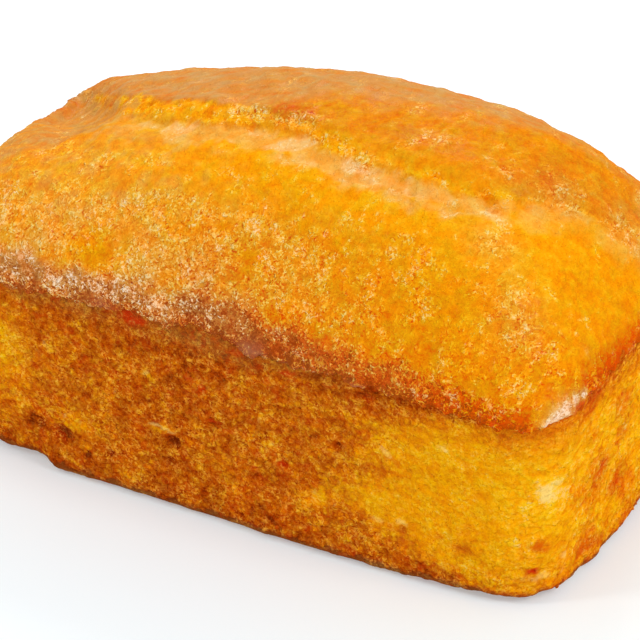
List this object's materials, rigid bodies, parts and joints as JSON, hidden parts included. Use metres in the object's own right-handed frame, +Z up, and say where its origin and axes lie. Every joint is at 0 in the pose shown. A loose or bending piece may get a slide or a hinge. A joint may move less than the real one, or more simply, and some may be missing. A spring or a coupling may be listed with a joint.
{
  "type": "cornbread loaf",
  "caption": "Small cornbread loaf, uncut: drafted tin-shaped walls of golden crumb under a domed, split and browned glossy crust with an overhanging lip.",
  "frame": {"origin": "middle of the flat base that the loaf rests on", "axes": "+X along the loaf, +Y across it away from the front side, +Z up through the domed crust"},
  "size_m": [0.1484, 0.0814, 0.0837],
  "materials": {
    "baked_crust": "baked golden crust with a light gloss over porous corn crumb"
  },
  "bodies": {
    "root": {"cornbread_loaf": "baked_crust"}
  },
  "joints": []
}
